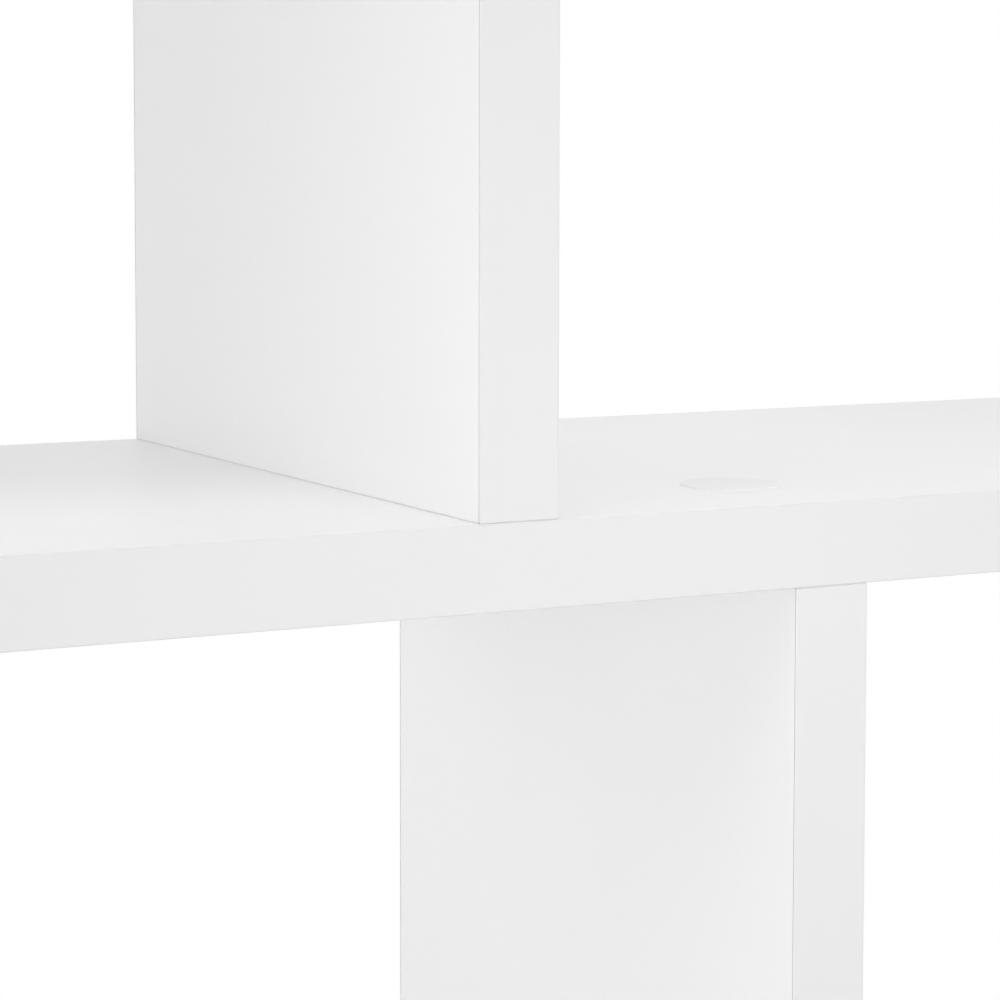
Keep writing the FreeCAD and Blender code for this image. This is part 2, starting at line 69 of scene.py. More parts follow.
LOG = logging.getLogger("wall_shelf")
BODY = "root"
MM = 0.001
FULL_TURN = 2 * math.pi
SHARP_ANGLE = math.radians(35)
SAME_POINT = 1e-6
NOISE_MEAN = 0.5
WHITE = (1.0, 1.0, 1.0, 1.0)

Colour = tuple[float, float, float, float]
Triple = tuple[float, float, float]
Stop = tuple[float, Colour]
Outline = Callable[[float], float]


class Slot(Enum):
    """The record's material slots of the pieces that are made here."""

    COVER = "cover_film"
    SCREW = "zinc_screw"
    DOWEL = "beech"


class Axis(Enum):
    """A direction of the frame, with its place in a vector."""

    X = 0
    Y = 1
    Z = 2

    def stretched(self, along: float) -> Triple:
        """Scale that is one across this axis and differs along it."""
        return tuple(along if index == self.value else 1.0 for index in range(3))


@dataclass(frozen=True)
class Solid:
    """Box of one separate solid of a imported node."""

    low: Vector
    high: Vector

    @property
    def middle(self) -> Vector:
        """Middle of the box."""
        return (self.low + self.high) / 2

    @property
    def size(self) -> Vector:
        """Edge lengths of the box."""
        return self.high - self.low


class Heading(Enum):
    """Which way a fastener's head, or a cover's open face, points."""

    UP = (0, 0, 1)
    DOWN = (0, 0, -1)
    WALL = (0, 1, 0)

    def reach(self, solid: Solid) -> float:
        """Length of a solid along this direction."""
        return abs(solid.size.dot(Vector(self.value)))

    def stand(self, solid: Solid) -> Matrix:
        """Place for a shape that is turned about +Z with its head at height zero.

        Args:
            solid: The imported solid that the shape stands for.

        Returns:
            Matrix that brings the head's middle to the solid's outer end, facing this way.
        """
        direction = Vector(self.value)
        turn = Vector((0, 0, 1)).rotation_difference(direction)
        outer_end = solid.middle + direction * self.reach(solid) / 2
        return Matrix.Translation(outer_end) @ turn.to_matrix().to_4x4()


def grey(level: float) -> Colour:
    """Neutral colour of one level."""
    return (level, level, level, 1.0)


def solids_of(node: str) -> list[Solid]:
    """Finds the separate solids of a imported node.

    Args:
        node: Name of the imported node.

    Returns:
        One box for each group of connected faces.
    """
    bm = bmesh.new()
    bm.from_mesh(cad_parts[node].data)
    bmesh.ops.remove_doubles(bm, verts=bm.verts, dist=SAME_POINT)
    waiting = set(bm.verts)
    solids = []
    while waiting:
        group = {waiting.pop()}
        border = set(group)
        while border:
            border = {edge.other_vert(vert) for vert in border for edge in vert.link_edges} - group
            group |= border
        waiting -= group
        corners = list(zip(*(vert.co for vert in group)))
        solids.append(Solid(Vector(map(min, corners)), Vector(map(max, corners))))
    bm.free()
    return solids


class Wire:
    """An output socket that takes part in arithmetic: each operation adds a Math node."""

    def __init__(self, graph: "ShaderGraph", socket: bpy.types.NodeSocket | None) -> None:
        """Keeps the socket with the graph that it belongs to."""
        self.graph = graph
        self.socket = socket

    def joined(self, operation: str, first: "Wire | float", second: "Wire | float" = 0.0) -> "Wire":
        """Adds a Math node on two values."""
        return self.graph.node("ShaderNodeMath", {"operation": operation}, {0: first, 1: second})

    def __add__(self, other: "Wire | float") -> "Wire":
        """Sum."""
        return self.joined("ADD", self, other)

    def __radd__(self, other: float) -> "Wire":
        """Sum with a number on the left."""
        return self.joined("ADD", other, self)

    def __sub__(self, other: "Wire | float") -> "Wire":
        """Difference."""
        return self.joined("SUBTRACT", self, other)

    def __rsub__(self, other: float) -> "Wire":
        """Difference with a number on the left."""
        return self.joined("SUBTRACT", other, self)

    def __mul__(self, other: "Wire | float") -> "Wire":
        """Product."""
        return self.joined("MULTIPLY", self, other)

    def __rmul__(self, other: float) -> "Wire":
        """Product with a number on the left."""
        return self.joined("MULTIPLY", other, self)

    def __abs__(self) -> "Wire":
        """Absolute value."""
        return self.joined("ABSOLUTE", self)

    def __gt__(self, other: "Wire | float") -> "Wire":
        """One where this value is the greater, otherwise zero."""
        return self.joined("GREATER_THAN", self, other)

    def __lt__(self, other: "Wire | float") -> "Wire":
        """One where this value is the smaller, otherwise zero."""
        return self.joined("LESS_THAN", self, other)

    def or_more(self, other: "Wire | float") -> "Wire":
        """The greater of two values."""
        return self.joined("MAXIMUM", self, other)

    def swing(self, reach: float) -> "Wire":
        """Noise brought to a mean of zero and scaled to the given reach."""
        return (self - NOISE_MEAN) * reach


class ShaderGraph:
    """The node tree of a material or of the world."""

    def __init__(self, tree: bpy.types.NodeTree) -> None:
        """Starts from an empty tree."""
        self.tree = tree
        tree.nodes.clear()

    def feed(self, socket: bpy.types.NodeSocket, value: object) -> None:
        """Links a wire to an input socket, or sets the socket's own value.

        Args:
            socket: The input socket.
            value: A wire, or a plain value that the socket takes.
        """
        if isinstance(value, Wire):
            self.tree.links.new(value.socket, socket)
        else:
            socket.default_value = value

    def node(
        self,
        kind: str,
        settings: dict[str, object] | None = None,
        inputs: dict[str | int, object] | None = None,
        output: str | int = 0,
    ) -> Wire:
        """Adds a node.

        Args:
            kind: Type name of the node.
            settings: Attributes, set before the sockets; "stops" fills a colour ramp.
            inputs: Values or wires by socket name or number.
            output: Name or number of the output that is wanted.

        Returns:
            The wanted output, or an empty wire for a node without outputs.
        """
        made = self.tree.nodes.new(kind)
        for name, value in (settings or {}).items():
            if name == "stops":
                self.set_stops(made.color_ramp, value)
            else:
                setattr(made, name, value)
        for key, value in (inputs or {}).items():
            self.feed(made.inputs[key], value)
        return Wire(self, made.outputs[output] if made.outputs else None)

    @staticmethod
    def set_stops(ramp: bpy.types.ColorRamp, stops: Sequence[Stop]) -> None:
        """Gives a colour ramp its stops.

        Args:
            ramp: The ramp of a node.
            stops: Two or more positions from zero to one, each with its colour.
        """
        while len(ramp.elements) < len(stops):
            ramp.elements.new(1.0)
        for element, (position, colour) in zip(ramp.elements, stops):
            element.position = position
            element.color = colour

    def place(self) -> Wire:
        """Place on the object, in metres of the frame."""
        return self.node("ShaderNodeTexCoord", output="Object")

    def along(self, axis: Axis) -> Wire:
        """One coordinate of the place."""
        return self.node("ShaderNodeSeparateXYZ", inputs={0: self.place()}, output=axis.value)

    def scaled_place(self, scale: Triple) -> Wire:
        """Place with each coordinate scaled."""
        return self.node("ShaderNodeVectorMath", {"operation": "MULTIPLY"}, {0: self.place(), 1: scale})

    def noise(self, grain: float, detail: float = 2.0, place: Wire | None = None) -> Wire:
        """Soft noise between zero and one.

        Args:
            grain: Size of a spot in metres.
            detail: Number of finer layers.
            place: Where the noise is read; the object's own place if left out.

        Returns:
            The noise value.
        """
        inputs = {"Vector": place or self.place(), "Scale": 1 / grain, "Detail": detail}
        return self.node("ShaderNodeTexNoise", inputs=inputs)

    def lines(self, width: float, run: Axis, stretch: float, detail: float = 2.0) -> Wire:
        """Noise of the given width, drawn out along an axis by a stretch below one."""
        return self.noise(width, detail, self.scaled_place(run.stretched(stretch)))

    def cells(self, grain: float, place: Wire) -> Wire:
        """Irregular cells of the given size, each with a random colour."""
        return self.node("ShaderNodeTexVoronoi", inputs={"Vector": place, "Scale": 1 / grain}, output="Color")

    def ramp(self, factor: Wire, stops: Sequence[Stop]) -> Wire:
        """Colour looked up on a ramp."""
        return self.node("ShaderNodeValToRGB", {"stops": stops}, {0: factor})

    def mix(self, factor: Wire | float, first: Wire | Colour, second: Wire | Colour) -> Wire:
        """Blend of two colours."""
        return self.node("ShaderNodeMix", {"data_type": "RGBA"}, {0: factor, 6: first, 7: second}, 2)

    def clouds(self, level: float, play: float, size: float) -> Wire:
        """Grey of one level with faint clouds of the given size, a little darker and lighter."""
        return self.mix(self.noise(size), grey(level - play), grey(level + play))

    def bump(self, height: Wire) -> Wire:
        """Surface direction over small hills, whose height is in metres."""
        return self.node("ShaderNodeBump", inputs={"Height": height, "Distance": 1.0})

    def fade(self, value: Wire, start: float, end: float) -> Wire:
        """Soft step that is zero at the start and one at the end."""
        inputs = {"Value": value, "From Min": start, "From Max": end}
        return self.node("ShaderNodeMapRange", {"interpolation_type": "SMOOTHSTEP"}, inputs)

    def seen_directly(self) -> Wire:
        """Tells rays that show a background from those that light the object.

        Returns:
            One for rays from the camera, mirrored or let through, otherwise zero.
        """
        kinds = ("Is Camera Ray", "Is Glossy Ray", "Is Transmission Ray")
        camera, mirrored, let_through = (self.node("ShaderNodeLightPath", output=kind) for kind in kinds)
        return camera.or_more(mirrored).or_more(let_through)


class Finish(ABC):
    """A surface finish, which gives the inputs of one shader."""

    @abstractmethod
    def surface(self, graph: ShaderGraph) -> dict[str, object]:
        """Works the finish out.

        Args:
            graph: Node tree of the material.

        Returns:
            Values and wires for the shader's sockets.
        """

    def material(self, name: str) -> bpy.types.Material:
        """Makes the finish into a material.

        Args:
            name: The material's name.

        Returns:
            A material whose one shader holds the finish.
        """
        made = bpy.data.materials.new(name)
        made.use_nodes = True
        graph = ShaderGraph(made.node_tree)
        shader = graph.node("ShaderNodeBsdfPrincipled", inputs=self.surface(graph))
        graph.node("ShaderNodeOutputMaterial", inputs={"Surface": shader})
        return made


@dataclass(frozen=True)
class Span:
    """Where a board or strip begins and ends along one axis."""

    axis: Axis
    low: float
    high: float

    @classmethod
    def of(cls, node: str, axis: Axis) -> "Span":
        """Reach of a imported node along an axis."""
        low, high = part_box(node)
        return cls(axis, low[axis.value], high[axis.value])

    def inset(self, graph: ShaderGraph) -> Wire:
        """Distance from the nearer end, inwards."""
        middle = (self.low + self.high) / 2
        return (self.high - self.low) / 2 - abs(graph.along(self.axis) - middle)


@dataclass(frozen=True)
class FacedBoard(Finish):
    """White melamine film on chipboard: film on the broad faces, chips in holes and routed pockets."""

    thickness: Span
    edged: tuple[Span, ...]
    white: float = 0.87
    cloud: float = 0.012
    cloud_size: float = 70 * MM
    speck: float = 0.008
    speck_size: float = 0.9 * MM
    speck_from: float = 0.62
    pearl_size: float = 0.45 * MM
    pearl_depth: float = 0.006 * MM
    roughness: float = 0.42
    roughness_play: float = 0.10
    gloss_fineness: float = 3.0
    film: float = 0.35 * MM
    film_edge: float = 0.03 * MM
    glue_width: float = 0.3 * MM
    glue_grey: float = 0.28
    chip_size: float = 2.4 * MM
    chip_flatness: float = 2.2
    chip_depth: float = 0.35 * MM
    chip_roughness: float = 0.85
    fibre_size: float = 0.6 * MM
    fibre_share: float = 0.4
    bark_to_sapwood: tuple[Stop, ...] = (
        (0.0, (0.16, 0.09, 0.04, 1.0)),
        (0.45, (0.42, 0.28, 0.15, 1.0)),
        (1.0, (0.66, 0.50, 0.31, 1.0)),
    )

    def film_colour(self, graph: ShaderGraph) -> Wire:
        """White of the film with faint clouds and a fine print grain.

        Args:
            graph: Node tree of the material.

        Returns:
            The film's colour.
        """
        clouded = graph.clouds(self.white, self.cloud, self.cloud_size)
        speck = graph.noise(self.speck_size, detail=1.0) > self.speck_from
        return graph.mix(speck * self.speck, clouded, grey(0.0))

    def chip_colour(self, graph: ShaderGraph) -> Wire:
        """Pressed chips with fibres in them, from brown bark to pale sapwood.

        Args:
            graph: Node tree of the material.

        Returns:
            The core's colour.
        """
        cells = graph.cells(self.chip_size, graph.scaled_place(Axis.Z.stretched(self.chip_flatness)))
        chip = graph.node("ShaderNodeRGBToBW", inputs={0: cells})
        fibre = graph.noise(self.fibre_size, detail=3.0)
        return graph.ramp(chip * (1 - self.fibre_share) + fibre * self.fibre_share, self.bark_to_sapwood)

    def glue_line(self, graph: ShaderGraph) -> Wire:
        """One beside the edging strips, within the width of the glue line."""
        lines = [span.inset(graph) < self.glue_width for span in self.edged]
        return functools.reduce(Wire.or_more, lines)

    def surface(self, graph: ShaderGraph) -> dict[str, object]:
        """Film, glue line or chips, told apart by the depth under the board's broad faces.

        Args:
            graph: Node tree of the material.

        Returns:
            Colour, roughness and relief.
        """
        depth = self.thickness.inset(graph)
        core = depth > self.film
        glue = (depth > self.film_edge) * self.glue_line(graph)
        film = graph.mix(glue, self.film_colour(graph), grey(self.glue_grey))
        pearl = graph.noise(self.pearl_size, detail=1.0)
        chips = graph.noise(self.chip_size)
        gloss = graph.noise(self.cloud_size / self.gloss_fineness)
        sheen = self.roughness + gloss.swing(self.roughness_play)
        return {
            "Base Color": graph.mix(core, film, self.chip_colour(graph)),
            "Roughness": sheen + core * (self.chip_roughness - self.roughness),
            "Normal": graph.bump(pearl * self.pearl_depth + core * chips * self.chip_depth),
        }


@dataclass(frozen=True)
class EdgingStrip(Finish):
    """White extruded edging: draw lines along the face, duller where it was milled flush and at its trimmed
    ends; the grey at the ends is partly the raw trimmed end and partly painted shade in the joints where the
    uprights meet the shelves.
    """

    run: Span
    across: Span
    white: float = 0.815
    cloud: float = 0.010
    cloud_size: float = 40 * MM
    milled: float = 0.79
    milled_width: float = 0.3 * MM
    milled_roughness: float = 0.12
    # Grey of the strip ends: partly the raw trimmed end, partly painted shade in the joints where the
    # uprights' strips meet the shelves.
    end_grey_and_joint_shade: float = 0.77
    end_grey_and_joint_shade_width: float = 0.24 * MM
    line_size: float = 0.35 * MM
    line_stretch: float = 0.004
    line_depth: float = 0.003 * MM
    roughness: float = 0.38
    roughness_play: float = 0.08

    def surface(self, graph: ShaderGraph) -> dict[str, object]:
        """Faint clouds in the colour, draw lines in the sheen and the relief, greyer where worked; the grey
        strip ends also carry painted joint shade.

        Args:
            graph: Node tree of the material.

        Returns:
            Colour, roughness and relief.
        """
        face = graph.clouds(self.white, self.cloud, self.cloud_size)
        lines = graph.lines(self.line_size, self.run.axis, self.line_stretch)
        milled = self.across.inset(graph) < self.milled_width
        # Mask of both ends of each strip, painted with the end grey: the raw trimmed end, and painted shade
        # in the joints with the shelves.
        end_grey_and_joint_shade = self.run.inset(graph) < self.end_grey_and_joint_shade_width
        worked = graph.mix(milled, face, grey(self.milled))
        sheen = self.roughness + lines.swing(self.roughness_play)
        return {
            "Base Color": graph.mix(end_grey_and_joint_shade, worked, grey(self.end_grey_and_joint_shade)),
            "Roughness": sheen + milled * self.milled_roughness,
            "Normal": graph.bump(lines * self.line_depth),
        }


@dataclass(frozen=True)
class CoverFilm(Finish):
    """Matt self-adhesive film of a screw cover."""

    white: float = 0.842
    cloud: float = 0.010
    cloud_size: float = 6 * MM
    grain_size: float = 0.25 * MM
    grain_depth: float = 0.006 * MM
    roughness: float = 0.55
    roughness_play: float = 0.10

    def surface(self, graph: ShaderGraph) -> dict[str, object]:
        """Faint clouds in the colour and the sheen, a fine grain in the relief.

        Args:
            graph: Node tree of the material.

        Returns:
            Colour, roughness and relief.
        """
        return {
            "Base Color": graph.clouds(self.white, self.cloud, self.cloud_size),
            "Roughness": self.roughness + graph.noise(self.cloud_size).swing(self.roughness_play),
            "Normal": graph.bump(graph.noise(self.grain_size) * self.grain_depth),
        }


@dataclass(frozen=True)
class ZincPlate(Finish):
    """Bright zinc on steel: patchy blue-white passivation over fine rolling lines."""

    run: Axis = Axis.Z
    cool: Colour = (0.40, 0.43, 0.47, 1.0)
    warm: Colour = (0.51, 0.50, 0.46, 1.0)
    patch_size: float = 5 * MM
    line_size: float = 0.2 * MM
    line_stretch: float = 0.03
    line_depth: float = 0.004 * MM
    roughness: float = 0.30
    roughness_play: float = 0.22

    def surface(self, graph: ShaderGraph) -> dict[str, object]:
        """Two tints in patches, with the rolling lines in sheen and relief.

        Args:
            graph: Node tree of the material.

        Returns:
            Colour, metal, roughness and relief.
        """
        patch = graph.noise(self.patch_size, detail=4.0)
        lines = graph.lines(self.line_size, self.run, self.line_stretch)
        return {
            "Base Color": graph.mix(patch, self.cool, self.warm),
            "Metallic": 1.0,
            "Roughness": self.roughness + (lines * patch - NOISE_MEAN**2) * self.roughness_play,
            "Normal": graph.bump(lines * self.line_depth),
        }


@dataclass(frozen=True)
class BeechWood(Finish):
    """Raw beech of a dowel: straight grain with short dark flecks."""

    run: Axis = Axis.Z
    pale: Colour = (0.62, 0.42, 0.25, 1.0)
    dark: Colour = (0.45, 0.27, 0.14, 1.0)
    fleck: Colour = (0.28, 0.15, 0.07, 1.0)
    grain_size: float = 0.8 * MM
    grain_stretch: float = 0.05
    fleck_size: float = 0.45 * MM
    fleck_stretch: float = 0.25
    fleck_from: float = 0.68
    relief: float = 0.02 * MM
    roughness: float = 0.7
    roughness_play: float = 0.15

    def surface(self, graph: ShaderGraph) -> dict[str, object]:
        """Grain along the dowel, broken by flecks.

        Args:
            graph: Node tree of the material.

        Returns:
            Colour, roughness and relief.
        """
        grain = graph.lines(self.grain_size, self.run, self.grain_stretch, detail=4.0)
        marked = graph.lines(self.fleck_size, self.run, self.fleck_stretch, detail=1.0) > self.fleck_from
        return {
            "Base Color": graph.mix(marked, graph.mix(grain, self.pale, self.dark), self.fleck),
            "Roughness": self.roughness + grain * self.roughness_play,
            "Normal": graph.bump(grain * self.relief),
        }


@dataclass(frozen=True)
class Ring:
    """One ring of a turned shape: its height and its radius at each angle."""

    height: float
    outline: Outline


def circle(radius: float) -> Outline:
    """Round outline."""
    return lambda angle: radius


def hexagon(across_flats: float) -> Outline:
    """Outline of a hexagon with a corner at angle zero."""
    sixth = FULL_TURN / 6
    return lambda angle: across_flats / 2 / math.cos(angle % sixth - sixth / 2)


def cross(reach: float, half_width: float) -> Outline:
    """Outline of a cross of four arms, the first at angle zero.

    Args:
        reach: Distance from the middle to an arm's end.
        half_width: Half the width of an arm.

    Returns:
        Radius at each angle.
    """
    quarter = FULL_TURN / 4

    def radius(angle: float) -> float:
        """Distance to the rim of the nearest arm.

        Args:
            angle: Direction from the middle.

        Returns:
            Distance to the arm's end or side, whichever comes first.
        """
        turn = abs((angle + quarter / 2) % quarter - quarter / 2)
        end = reach / math.cos(turn)
        side = half_width / max(math.sin(turn), SAME_POINT)
        return min(end, side)

    return radius


def fluted(radius: float, flutes: int, depth: float) -> Outline:
    """Round outline with hollow flutes."""
    return lambda angle: radius - depth * max(0.0, math.cos(flutes * angle))


def even_angles(count: int) -> list[float]:
    """Angles spread evenly over a turn."""
    return [FULL_TURN * step / count for step in range(count)]


@dataclass(frozen=True)
class Ridge:
    """Screw thread: a three-sided ridge wound round a core."""

    core: float
    height: float
    pitch: float
    top: float
    bottom: float
    steps: int
    base: float = 0.6
    sink: float = 0.05 * MM

    def sections(self) -> list[list[Vector]]:
        """Cuts the ridge at each step of its winding.

        Returns:
            Three corners for each section, from the top down, shrinking to nothing at both ends.
        """
        count = int((self.top - self.bottom) / self.pitch * self.steps)
        rows = []
        for step in range(count + 1):
            angle = FULL_TURN * step / self.steps
            middle = self.top - self.pitch * step / self.steps
            taper = min(1.0, (step + 1) / self.steps, (count - step + 1) / self.steps)
            half = self.base * self.pitch / 2 * taper
            corners = [
                (self.core - self.sink, middle + half),
                (self.core + self.height * taper, middle),
                (self.core - self.sink, middle - half),
            ]
            rows.append([Vector((r * math.cos(angle), r * math.sin(angle), z)) for r, z in corners])
        return rows


class PieceMesh:
    """A mesh in the making, of turned shapes and wound ridges."""

    def __init__(self) -> None:
        """Starts with nothing."""
        self.bm = bmesh.new()

    def bridge(self, first: Sequence[bmesh.types.BMVert], second: Sequence[bmesh.types.BMVert]) -> None:
        """Puts faces between two closed rows.

        Args:
            first: Points of one row.
            second: As many points of the next row.
        """
        count = len(first)
        for index in range(count):
            after = (index + 1) % count
            self.bm.faces.new((first[index], first[after], second[after], second[index]))

    def turn(self, rings: Sequence[Ring], angles: Sequence[float], stand: Matrix) -> None:
        """Adds a closed turned shape.

        Args:
            rings: Rings from one end to the other; the first and last are closed by a flat fan.
            angles: Where each ring has its points.
            stand: Place of the shape.
        """
        rows = []
        for ring in rings:
            points = [(ring.outline(angle), angle) for angle in angles]
            spots = [Vector((r * math.cos(angle), r * math.sin(angle), ring.height)) for r, angle in points]
            rows.append([self.bm.verts.new(stand @ spot) for spot in spots])
        for upper, lower in zip(rows, rows[1:]):
            self.bridge(upper, lower)
        for ring, row in ((rings[0], rows[0]), (rings[-1], rows[-1])):
            pole = self.bm.verts.new(stand @ Vector((0, 0, ring.height)))
            for vert, following in zip(row, row[1:] + row[:1]):
                self.bm.faces.new((vert, following, pole))

    def wind(self, ridge: Ridge, stand: Matrix) -> None:
        """Adds a screw thread as a closed ridge.

        Args:
            ridge: The thread.
            stand: Place of the screw.
        """
        rows = [[self.bm.verts.new(stand @ spot) for spot in section] for section in ridge.sections()]
        for upper, lower in zip(rows, rows[1:]):
            self.bridge(upper, lower)
        self.bm.faces.new(rows[0])
        self.bm.faces.new(rows[-1])

    def piece(self, name: str, material: bpy.types.Material, node: str) -> None:
        """Finishes the mesh as a piece that rides on the shelf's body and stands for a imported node.

        Args:
            name: The piece's name.
            material: Its material.
            node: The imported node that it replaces.
        """
        bmesh.ops.recalc_face_normals(self.bm, faces=self.bm.faces)
        for face in self.bm.faces:
            face.smooth = True
        for edge in self.bm.edges:
            edge.smooth = edge.calc_face_angle(0.0) < SHARP_ANGLE
        mesh = bpy.data.meshes.new(name)
        self.bm.to_mesh(mesh)
        self.bm.free()
        mesh.materials.append(material)
        made = bpy.data.objects.new(name, mesh)
        bpy.context.scene.collection.objects.link(made)
        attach(made, BODY)
        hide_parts(node)
        LOG.info("%s replaces %s", name, node)


def dress(node: str, material: bpy.types.Material) -> None:
    """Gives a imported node's object a material.

    Args:
        node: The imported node.
        material: The material for each of its slots.
    """
    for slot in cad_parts[node].material_slots:
        slot.material = material
    LOG.info("%s wears %s", node, material.name)


@dataclass(frozen=True)
class Boards:
    """The shelf boards and uprights, and the edging round them."""

    shelves: tuple[str, ...] = ("top_shelf", "centre_shelf", "bottom_shelf")
    uprights: tuple[str, ...] = ("upper_end_panel", "upper_divider", "lower_divider", "lower_end_panel")

    def dress_board(self, node: str, thickness: Axis, edged: Sequence[Axis]) -> None:
        """Films a board.

        Args:
            node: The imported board.
            thickness: Axis across its broad faces.
            edged: Axes at whose ends it carries edging.
        """
        finish = FacedBoard(Span.of(node, thickness), tuple(Span.of(node, axis) for axis in edged))
        dress(node, finish.material(f"faced_{node}"))

    def dress_edging(self, board: str, sides: Sequence[str], run: Axis, across: Axis) -> None:
        """Gives a board's edging strips on opposite sides their finish.

        Args:
            board: The board that carries the strips.
            sides: Which of its strips.
            run: Axis along the strips.
            across: Axis across the board's broad faces.
        """
        strips = [f"{board}_{side}_edging" for side in sides]
        finish = EdgingStrip(Span.of(strips[0], run), Span.of(board, across))
        material = finish.material(f"edging_{board}_{run.name.lower()}")
        for strip in strips:
            dress(strip, material)

    def build(self) -> None:
        """Dresses all boards and strips."""
        for node in self.shelves:
            self.dress_board(node, Axis.Z, [Axis.X, Axis.Y])
            self.dress_edging(node, ["front", "back"], Axis.X, Axis.Z)
            self.dress_edging(node, ["left", "right"], Axis.Y, Axis.Z)
        for node in self.uprights:
            self.dress_board(node, Axis.X, [Axis.Y])
            self.dress_edging(node, ["front", "back"], Axis.Z, Axis.X)


@dataclass(frozen=True)
class CountersunkScrews(ABC):
    """Threaded screws with a countersunk head; the kinds differ in size and in the drive."""

    look: str
    shank: float
    shank_end: float
    core: float
    thread_height: float
    pitch: float
    lead: float
    thread_steps: int
    bevel: float
    tip_length: float
    bare_tip: float
    tip: float

    @abstractmethod
    def drive(self) -> list[Ring]:
        """Rings of the hollow in the head, from its floor to its mouth."""

    @abstractmethod
    def angles(self) -> list[float]:
        """Where each ring has its points."""

    def rings(self, head: float, length: float) -> list[Ring]:
        """Rings of a screw from the floor of the drive over the head to the tip.

        Args:
            head: Radius of the head.
            length: Length over all.

        Returns:
            The rings, with the head's top at height zero.
        """
        return [
            *self.drive(),
            Ring(0.0, circle(head - self.bevel)),
            Ring(-self.bevel, circle(head)),
            Ring(-self.bevel - (head - self.shank), circle(self.shank)),
            Ring(-self.shank_end, circle(self.shank)),
            Ring(-self.shank_end - (self.shank - self.core), circle(self.core)),
            Ring(-length + self.tip_length, circle(self.core)),
            Ring(-length, circle(self.tip)),
        ]

    def thread(self, length: float) -> Ridge:
        """Thread of a screw, from a lead below the shank to the bare tip.

        Args:
            length: The screw's length over all.

        Returns:
            The thread, with the head's top at height zero.
        """
        top = -self.shank_end - self.lead
        bottom = -length + self.bare_tip
        return Ridge(self.core, self.thread_height, self.pitch, top, bottom, self.thread_steps)

    def build(self, node: str, heading: Heading, material: bpy.types.Material) -> None:
        """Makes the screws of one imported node.

        Args:
            node: The node with the plain screws.
            heading: Which way their heads point.
            material: Their finish.
        """
        mesh = PieceMesh()
        for solid in solids_of(node):
            stand = heading.stand(solid)
            length = heading.reach(solid)
            mesh.turn(self.rings(solid.size.x / 2, length), self.angles(), stand)
            mesh.wind(self.thread(length), stand)
        mesh.piece(f"{self.look}_{node}", material, node)


@dataclass(frozen=True)
class AssemblyScrews(CountersunkScrews):
    """Long screws with a hexagon socket, which pull the shelves onto the uprights."""

    look: str = "threaded"
    shank: float = 3.5 * MM
    shank_end: float = 15 * MM
    core: float = 2.5 * MM
    thread_height: float = 0.95 * MM
    pitch: float = 3 * MM
    lead: float = 3 * MM
    thread_steps: int = 24
    bevel: float = 0.15 * MM
    tip_length: float = 4 * MM
    bare_tip: float = 4 * MM
    tip: float = 0.4 * MM
    socket: float = 4 * MM
    socket_depth: float = 3 * MM
    sides: int = 24

    def drive(self) -> list[Ring]:
        """Hexagon socket with a bevelled mouth.

        Returns:
            Rings from the socket's floor to its mouth.
        """
        hollow = hexagon(self.socket)
        mouth = self.socket / math.sqrt(3) + self.bevel
        return [Ring(-self.socket_depth, hollow), Ring(-2 * self.bevel, hollow), Ring(0.0, circle(mouth))]

    def angles(self) -> list[float]:
        """Even angles, with the socket's corners among them."""
        return even_angles(self.sides)


@dataclass(frozen=True)
class HangerScrews(CountersunkScrews):
    """Small screws with a cross recess, which hold the hanger plates."""

    look: str = "recessed"
    shank: float = 1.5 * MM
    shank_end: float = 3 * MM
    core: float = 1.05 * MM
    thread_height: float = 0.45 * MM
    pitch: float = 1.4 * MM
    lead: float = 0.7 * MM
    thread_steps: int = 16
    bevel: float = 0.08 * MM
    tip_length: float = 3 * MM
    bare_tip: float = 1.5 * MM
    tip: float = 0.1 * MM
    recess_reach: float = 1.7 * MM
    recess_half_width: float = 0.42 * MM
    recess_depth: float = 1.1 * MM
    recess_taper: float = 0.45
    arm_angles: int = 6

    def drive(self) -> list[Ring]:
        """Cross recess that narrows downwards.

        Returns:
            Rings from the recess's floor to its mouth.
        """
        floor = cross(self.recess_reach * self.recess_taper, self.recess_half_width * self.recess_taper)
        mouth = cross(self.recess_reach, self.recess_half_width)
        return [Ring(-self.recess_depth, floor), Ring(0.0, mouth)]

    def angles(self) -> list[float]:
        """Spreads the points so that they hit the corners of the cross.

        Returns:
            Angles of the arms' middles and corners, and of the head's round between them.
        """
        corner = math.atan(self.recess_half_width / self.recess_reach)
        quarter = FULL_TURN / 4
        middle = quarter / 2
        between = [corner + (middle - corner) * step / self.arm_angles for step in range(self.arm_angles)]
        side = [0.0] + between + [middle]
        eighths = side + [quarter - angle for angle in reversed(side[1:-1])]
        return [quarter * turn + angle for turn in range(4) for angle in eighths]


@dataclass(frozen=True)
class Dowels:
    """Fluted beech dowels with bevelled ends."""

    flutes: int = 16
    flute_depth: float = 0.3 * MM
    bevel: float = 0.9 * MM
    steps_per_flute: int = 4

    def build(self, node: str, material: bpy.types.Material) -> None:
        """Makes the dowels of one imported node.

        Args:
            node: The node with the plain dowels.
            material: Their finish.
        """
        mesh = PieceMesh()
        for solid in solids_of(node):
            radius = solid.size.x / 2
            length = Heading.UP.reach(solid)
            body = fluted(radius, self.flutes, self.flute_depth)
            rings = [
                Ring(0.0, circle(radius - self.bevel)),
                Ring(-self.bevel, body),
                Ring(self.bevel - length, body),
                Ring(-length, circle(radius - self.bevel)),
            ]
            mesh.turn(rings, even_angles(self.flutes * self.steps_per_flute), Heading.UP.stand(solid))
        mesh.piece(f"fluted_{node}", material, node)


